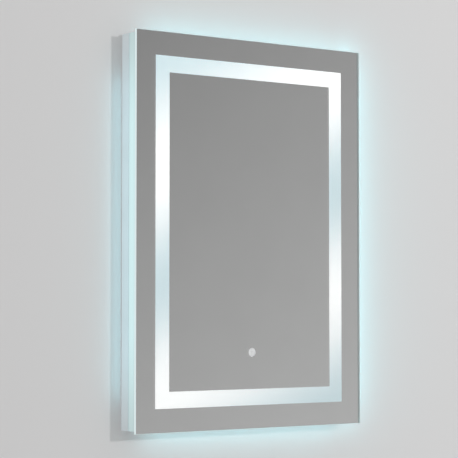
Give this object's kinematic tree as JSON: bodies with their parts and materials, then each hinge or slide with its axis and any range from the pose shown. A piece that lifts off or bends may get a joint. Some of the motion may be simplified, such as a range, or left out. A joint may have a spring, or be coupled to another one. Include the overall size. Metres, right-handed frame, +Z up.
{
  "type": "lighted bathroom mirror",
  "caption": "Wall-hung rectangular mirror with a front-lit frosted band, a halo of light on the wall, a touch switch spot, and a hook rail that lifts off its wall rail.",
  "frame": {"origin": "centre of the wall rail's screw holes, on the wall's surface", "axes": "-Y out of the wall towards the viewer, +X to the viewer's right, +Z up"},
  "size_m": [0.5, 0.055, 0.7],
  "materials": {
    "glass": "polished",
    "silvering": "polished",
    "opal_diffuser": "satin",
    "opal_lens": "satin",
    "anodised_aluminium": "satin",
    "cast_key": "matte",
    "foam_tape": "matte",
    "led_strip": "matte",
    "painted_pan": "satin",
    "zinc_steel": "satin",
    "screw_steel": "satin",
    "bumper_rubber": "matte",
    "black_nylon": "matte",
    "white_plastic": "matte",
    "terminal_plastic": "matte",
    "sensor_plastic": "matte",
    "circuit_board": "satin",
    "spot_lens": "satin",
    "lead_cover": "satin"
  },
  "bodies": {
    "wall_rail": {"wall_rail": "zinc_steel"},
    "mirror_unit": {"back_pan": "painted_pan", "band_diffuser_bottom": "opal_diffuser", "band_diffuser_left": "opal_diffuser", "band_diffuser_right": "opal_diffuser", "band_diffuser_top": "opal_diffuser", "band_lead": "lead_cover", "band_led_strip_bottom": "led_strip", "band_led_strip_left": "led_strip", "band_led_strip_right": "led_strip", "band_led_strip_top": "led_strip", "bonding_tape_bottom": "foam_tape", "bonding_tape_left": "foam_tape", "bonding_tape_right": "foam_tape", "bonding_tape_top": "foam_tape", "cable_gland": "black_nylon", "corner_key_bottom_left": "cast_key", "corner_key_bottom_right": "cast_key", "corner_key_top_left": "cast_key", "corner_key_top_right": "cast_key", "driver_board": "circuit_board", "driver_case": "white_plastic", "driver_lid": "white_plastic", "driver_screws": "screw_steel", "frame_rail_bottom": "anodised_aluminium", "frame_rail_left": "anodised_aluminium", "frame_rail_right": "anodised_aluminium", "frame_rail_top": "anodised_aluminium", "gland_nut": "black_nylon", "halo_lead": "lead_cover", "halo_led_strip_bottom": "led_strip", "halo_led_strip_left": "led_strip", "halo_led_strip_right": "led_strip", "halo_led_strip_top": "led_strip", "halo_lens_bottom": "opal_lens", "halo_lens_left": "opal_lens", "halo_lens_right": "opal_lens", "halo_lens_top": "opal_lens", "hook_rail": "zinc_steel", "hook_rail_rivets": "screw_steel", "mains_link_lead": "lead_cover", "mirror_glass": "glass", "pan_screws": "screw_steel", "sensor_lead": "lead_cover", "silver_border": "silvering", "silver_field": "silvering", "terminal_block": "terminal_plastic", "terminal_box": "white_plastic", "terminal_box_lid": "white_plastic", "terminal_lid_screws": "screw_steel", "touch_sensor_board": "circuit_board", "touch_sensor_case": "sensor_plastic", "touch_spot_lens": "spot_lens", "wall_bumper_left": "bumper_rubber", "wall_bumper_right": "bumper_rubber"}
  },
  "joints": [
    {"name": "lift_off", "type": "slide", "parent": "wall_rail", "child": "mirror_unit", "axis": [0, 0, 1], "range_m": [0, 0.012]}
  ]
}
